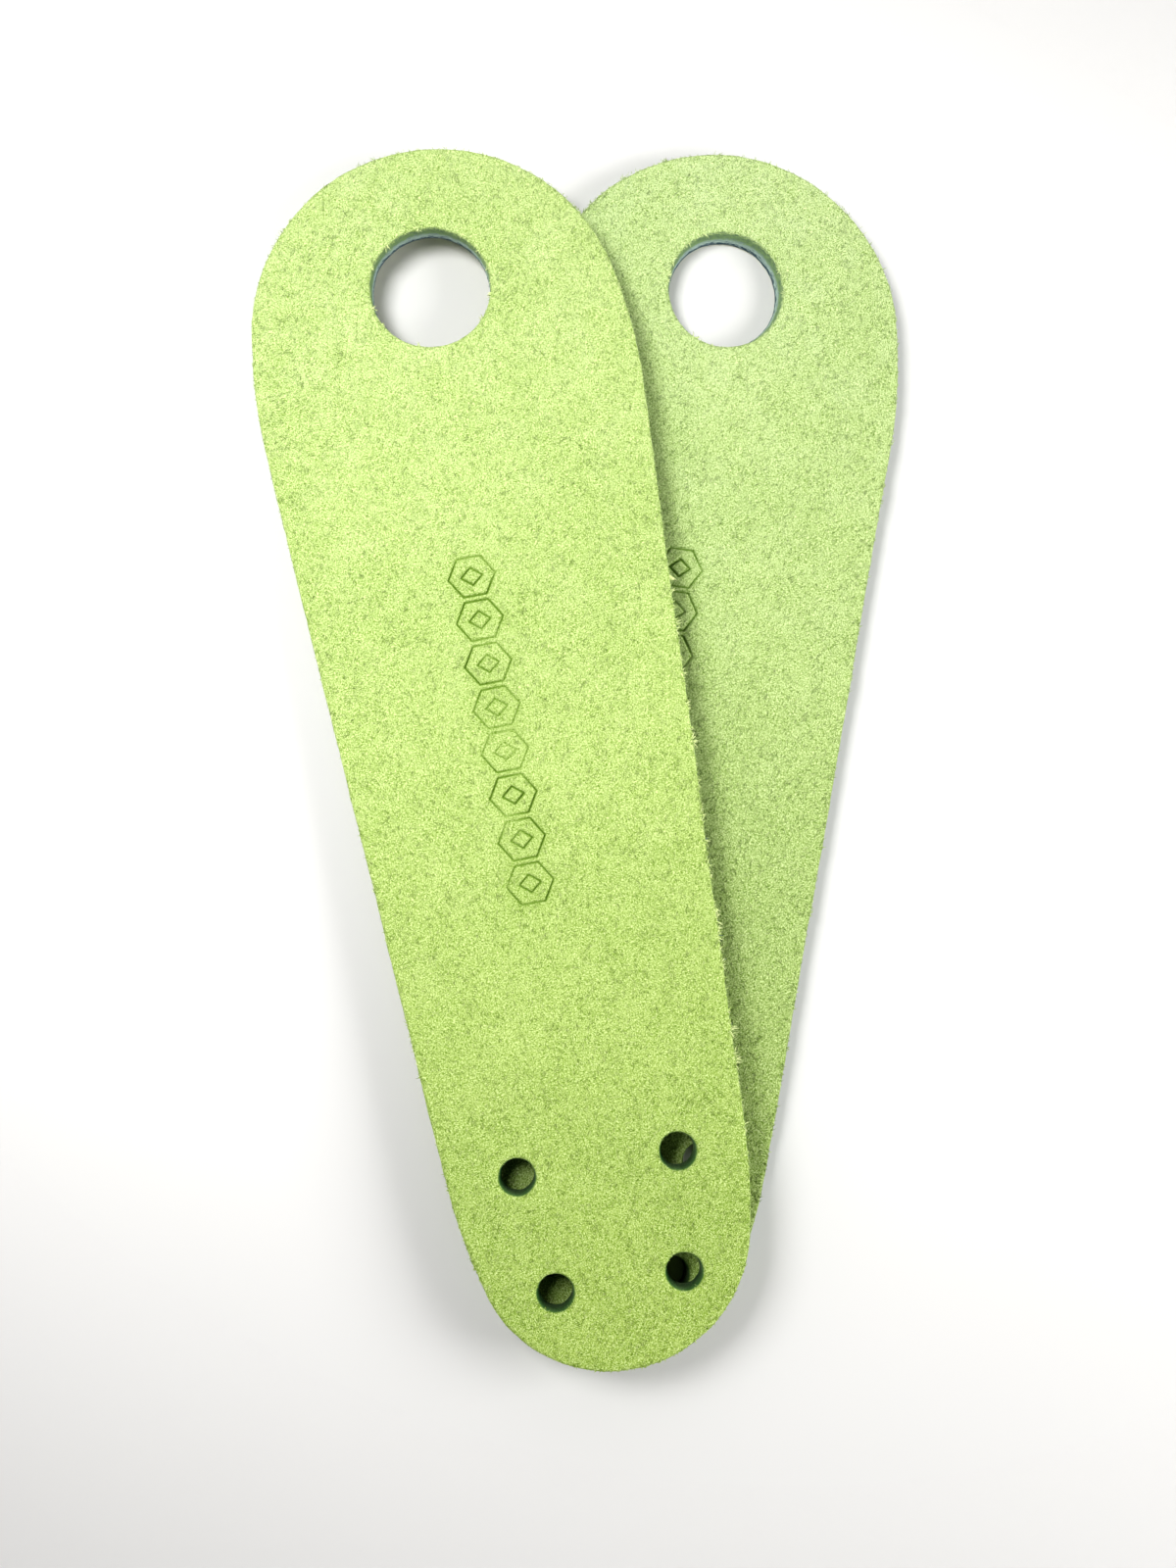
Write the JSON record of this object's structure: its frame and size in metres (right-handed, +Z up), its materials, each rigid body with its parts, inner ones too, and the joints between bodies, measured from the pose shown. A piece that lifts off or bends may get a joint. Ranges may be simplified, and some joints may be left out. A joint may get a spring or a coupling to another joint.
{
  "type": "pair of roller skate toe guards",
  "caption": "Paddle-shaped thick suede straps, loosely crossed; each has a stem hole in its wide end and lace holes in its narrow end.",
  "frame": {"origin": "on the table under the middle of the pair's bounding box", "axes": "+Z up from the table, +Y towards the wide ends, +X towards the lower guard's side"},
  "size_m": [0.0894, 0.165, 0.0109],
  "materials": {
    "suede_lower": "lime-green dyed suede nap, bluish-grey undyed core at the cut edges",
    "suede_upper": "lime-green dyed suede nap, bluish-grey undyed core at the cut edges"
  },
  "bodies": {
    "lower_guard": {"lower_toe_guard": "suede_lower"},
    "upper_guard": {"upper_toe_guard": "suede_upper"}
  },
  "joints": [
    {"name": "upper_guard_lift", "type": "slide", "parent": "lower_guard", "child": "upper_guard", "axis": [0, 0, 1], "range_m": [0, 0.03]}
  ]
}
